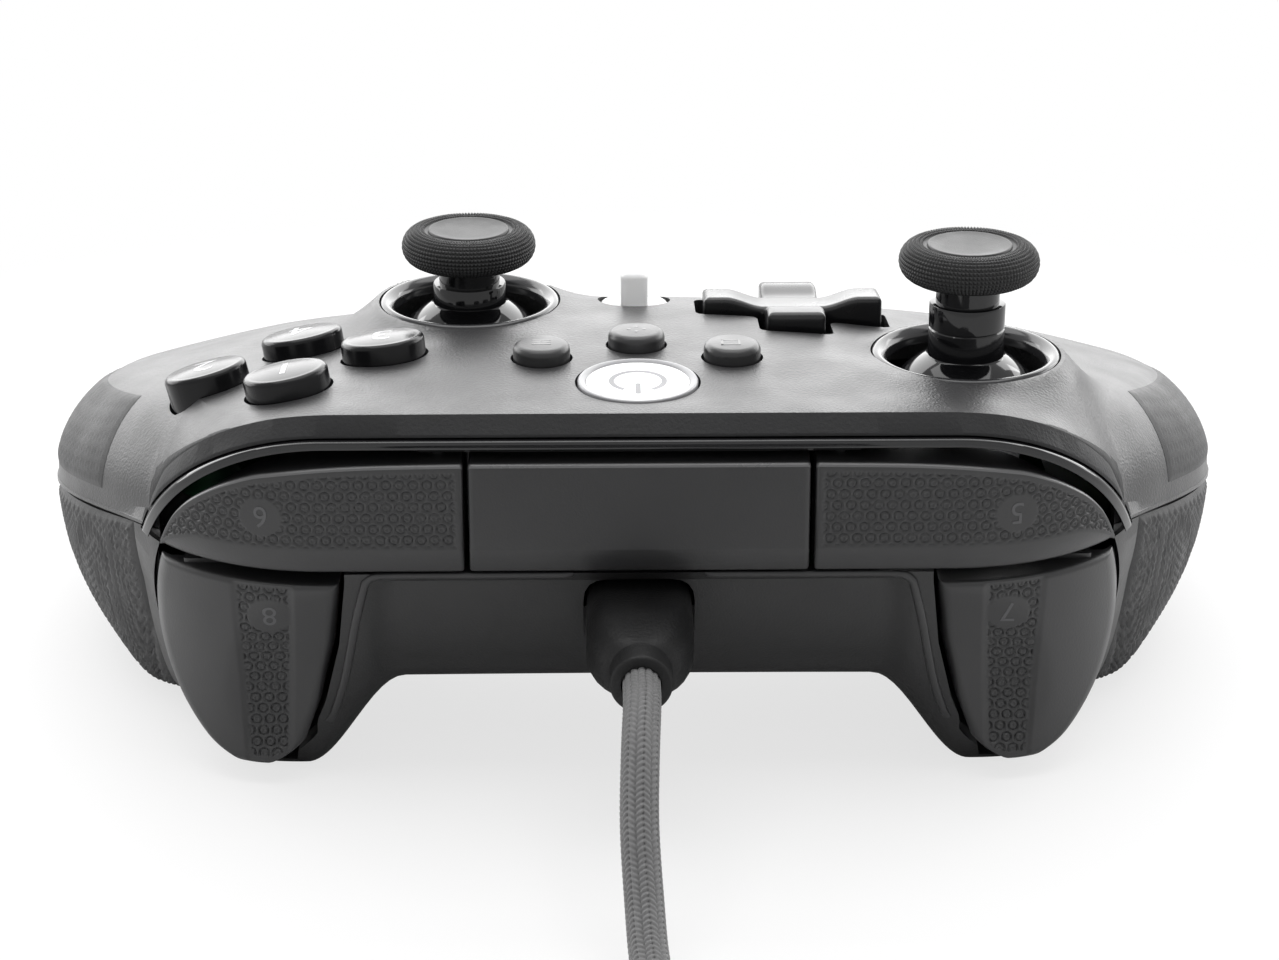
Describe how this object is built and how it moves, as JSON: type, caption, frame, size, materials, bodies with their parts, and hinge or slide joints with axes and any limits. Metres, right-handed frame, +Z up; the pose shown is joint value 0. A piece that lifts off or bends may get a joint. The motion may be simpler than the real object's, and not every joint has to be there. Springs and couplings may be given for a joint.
{
  "type": "gamepad controller",
  "caption": "Wired pro gamepad with two thumbsticks, cross pad, domed buttons, bumpers, triggers, volume dial and a braided cord.",
  "frame": {"origin": "centre of the pad's outline on the floor, cord not counted", "axes": "+X to the right seen from the cord side, +Y from the front face to the grip tips, +Z up"},
  "size_m": [0.156, 0.334, 0.0626],
  "materials": {
    "shell": "satin",
    "gloss": "gloss",
    "rubber": "knurled",
    "ring": "gloss",
    "white": "translucent",
    "steel": "plain",
    "board": "satin",
    "braid": "braided"
  },
  "bodies": {
    "housing": {"top_shell": "shell", "bottom_shell": "shell", "left_grip": "rubber", "right_grip": "rubber", "front_frame": "gloss", "center_panel": "gloss", "left_trigger_pin": "steel", "right_trigger_pin": "steel", "left_ring": "ring", "left_base": "steel", "right_ring": "ring", "right_base": "steel", "encoder": "shell", "button_board": "board", "main_board": "board", "cord_socket": "steel", "headset_jack": "shell", "left_motor": "steel", "right_motor": "steel", "screw_1": "steel", "screw_2": "steel", "screw_3": "steel", "screw_4": "steel", "cord_plug": "shell", "cord": "braid", "cord_coil": "braid", "cord_tie": "rubber", "far_plug": "shell"},
    "left_bumper": {"left_bumper": "gloss"},
    "left_trigger": {"left_trigger": "shell"},
    "left_yoke": {"left_yoke": "shell"},
    "left_stem": {"left_stem": "shell"},
    "left_stick": {"left_cap": "rubber", "left_neck": "gloss"},
    "left_weight": {"left_weight": "steel"},
    "right_bumper": {"right_bumper": "gloss"},
    "right_trigger": {"right_trigger": "shell"},
    "right_yoke": {"right_yoke": "shell"},
    "right_stem": {"right_stem": "shell"},
    "right_stick": {"right_cap": "rubber", "right_neck": "gloss"},
    "right_weight": {"right_weight": "steel"},
    "face_button_1": {"face_button_1": "gloss"},
    "face_button_2": {"face_button_2": "gloss"},
    "face_button_3": {"face_button_3": "gloss"},
    "face_button_4": {"face_button_4": "gloss"},
    "menu_button": {"menu_button": "shell"},
    "view_button": {"view_button": "shell"},
    "share_button": {"share_button": "shell"},
    "home_button": {"home_button": "white", "home_ring": "white"},
    "pad_yoke": {"pad_yoke": "shell"},
    "cross_pad": {"cross_pad": "gloss"},
    "dial_rotor": {"dial_rotor": "steel"},
    "volume_dial": {"volume_dial": "white"}
  },
  "joints": [
    {"name": "left_bumper_press", "type": "hinge", "parent": "housing", "child": "left_bumper", "pos_m": [0.024, -0.0489, 0.036], "axis": [0, 0, 1], "range_deg": [0, 2], "stiffness_Nm_per_rad": 1.5},
    {"name": "left_trigger_pull", "type": "hinge", "parent": "housing", "child": "left_trigger", "pos_m": [0.0465, -0.0405, 0.0302], "axis": [1, 0, 0], "range_deg": [0, 14], "stiffness_Nm_per_rad": 0.12},
    {"name": "left_stick_fore_aft", "type": "hinge", "parent": "housing", "child": "left_yoke", "pos_m": [0.0412, -0.0275, 0.0383], "axis": [1, 0, 0], "range_deg": [-15, 15], "stiffness_Nm_per_rad": 0.05},
    {"name": "left_stick_side", "type": "hinge", "parent": "left_yoke", "child": "left_stem", "pos_m": [0.0412, -0.0275, 0.0383], "axis": [0, 1, 0], "range_deg": [-15, 15], "stiffness_Nm_per_rad": 0.05},
    {"name": "left_stick_press", "type": "slide", "parent": "left_stem", "child": "left_stick", "axis": [0, 0, -1], "range_m": [0, 0.0005], "stiffness_N_per_m": 3000},
    {"name": "left_rumble_spin", "type": "hinge", "parent": "housing", "child": "left_weight", "pos_m": [0.059, 0.0165, 0.0155], "axis": [0, 1, 0], "continuous": true},
    {"name": "right_bumper_press", "type": "hinge", "parent": "housing", "child": "right_bumper", "pos_m": [-0.024, -0.0489, 0.036], "axis": [0, 0, -1], "range_deg": [0, 2], "stiffness_Nm_per_rad": 1.5},
    {"name": "right_trigger_pull", "type": "hinge", "parent": "housing", "child": "right_trigger", "pos_m": [-0.0465, -0.0405, 0.0302], "axis": [1, 0, 0], "range_deg": [0, 14], "stiffness_Nm_per_rad": 0.12},
    {"name": "right_stick_fore_aft", "type": "hinge", "parent": "housing", "child": "right_yoke", "pos_m": [-0.0216, -0.0055, 0.0383], "axis": [1, 0, 0], "range_deg": [-15, 15], "stiffness_Nm_per_rad": 0.05},
    {"name": "right_stick_side", "type": "hinge", "parent": "right_yoke", "child": "right_stem", "pos_m": [-0.0216, -0.0055, 0.0383], "axis": [0, 1, 0], "range_deg": [-15, 15], "stiffness_Nm_per_rad": 0.05},
    {"name": "right_stick_press", "type": "slide", "parent": "right_stem", "child": "right_stick", "axis": [0, 0, -1], "range_m": [0, 0.0005], "stiffness_N_per_m": 3000},
    {"name": "right_rumble_spin", "type": "hinge", "parent": "housing", "child": "right_weight", "pos_m": [-0.059, 0.0165, 0.0155], "axis": [0, 1, 0], "continuous": true},
    {"name": "face_button_1_press", "type": "slide", "parent": "housing", "child": "face_button_1", "axis": [0.1769, -0.0683, -0.9819], "range_m": [0, 0.0016], "stiffness_N_per_m": 700},
    {"name": "face_button_2_press", "type": "slide", "parent": "housing", "child": "face_button_2", "axis": [0.2438, -0.1048, -0.9641], "range_m": [0, 0.0016], "stiffness_N_per_m": 700},
    {"name": "face_button_3_press", "type": "slide", "parent": "housing", "child": "face_button_3", "axis": [0.1039, -0.106, -0.9889], "range_m": [0, 0.0016], "stiffness_N_per_m": 700},
    {"name": "face_button_4_press", "type": "slide", "parent": "housing", "child": "face_button_4", "axis": [0.1744, -0.1296, -0.9761], "range_m": [0, 0.0016], "stiffness_N_per_m": 700},
    {"name": "menu_button_press", "type": "slide", "parent": "housing", "child": "menu_button", "axis": [0, 0.0037, -1], "range_m": [0, 0.0008], "stiffness_N_per_m": 900},
    {"name": "view_button_press", "type": "slide", "parent": "housing", "child": "view_button", "axis": [0, 0.0037, -1], "range_m": [0, 0.0008], "stiffness_N_per_m": 900},
    {"name": "share_button_press", "type": "slide", "parent": "housing", "child": "share_button", "axis": [0, -0.0161, -0.9999], "range_m": [0, 0.0008], "stiffness_N_per_m": 900},
    {"name": "home_press", "type": "slide", "parent": "housing", "child": "home_button", "axis": [0, 0.0309, -0.9995], "range_m": [0, 0.0006], "stiffness_N_per_m": 1500},
    {"name": "pad_fore_aft", "type": "hinge", "parent": "housing", "child": "pad_yoke", "pos_m": [0.0206, -0.0067, 0.0386], "axis": [1, 0, 0], "range_deg": [-4, 4], "stiffness_Nm_per_rad": 0.35},
    {"name": "pad_side", "type": "hinge", "parent": "pad_yoke", "child": "cross_pad", "pos_m": [0.0206, -0.0067, 0.0386], "axis": [0, 1, 0], "range_deg": [-4, 4], "stiffness_Nm_per_rad": 0.35},
    {"name": "dial_turn", "type": "hinge", "parent": "housing", "child": "dial_rotor", "pos_m": [0, -0.0025, 0.041], "axis": [0, 0, 1], "continuous": true},
    {"name": "dial_press", "type": "slide", "parent": "dial_rotor", "child": "volume_dial", "axis": [0, 0, -1], "range_m": [0, 0.0004], "stiffness_N_per_m": 2000}
  ]
}
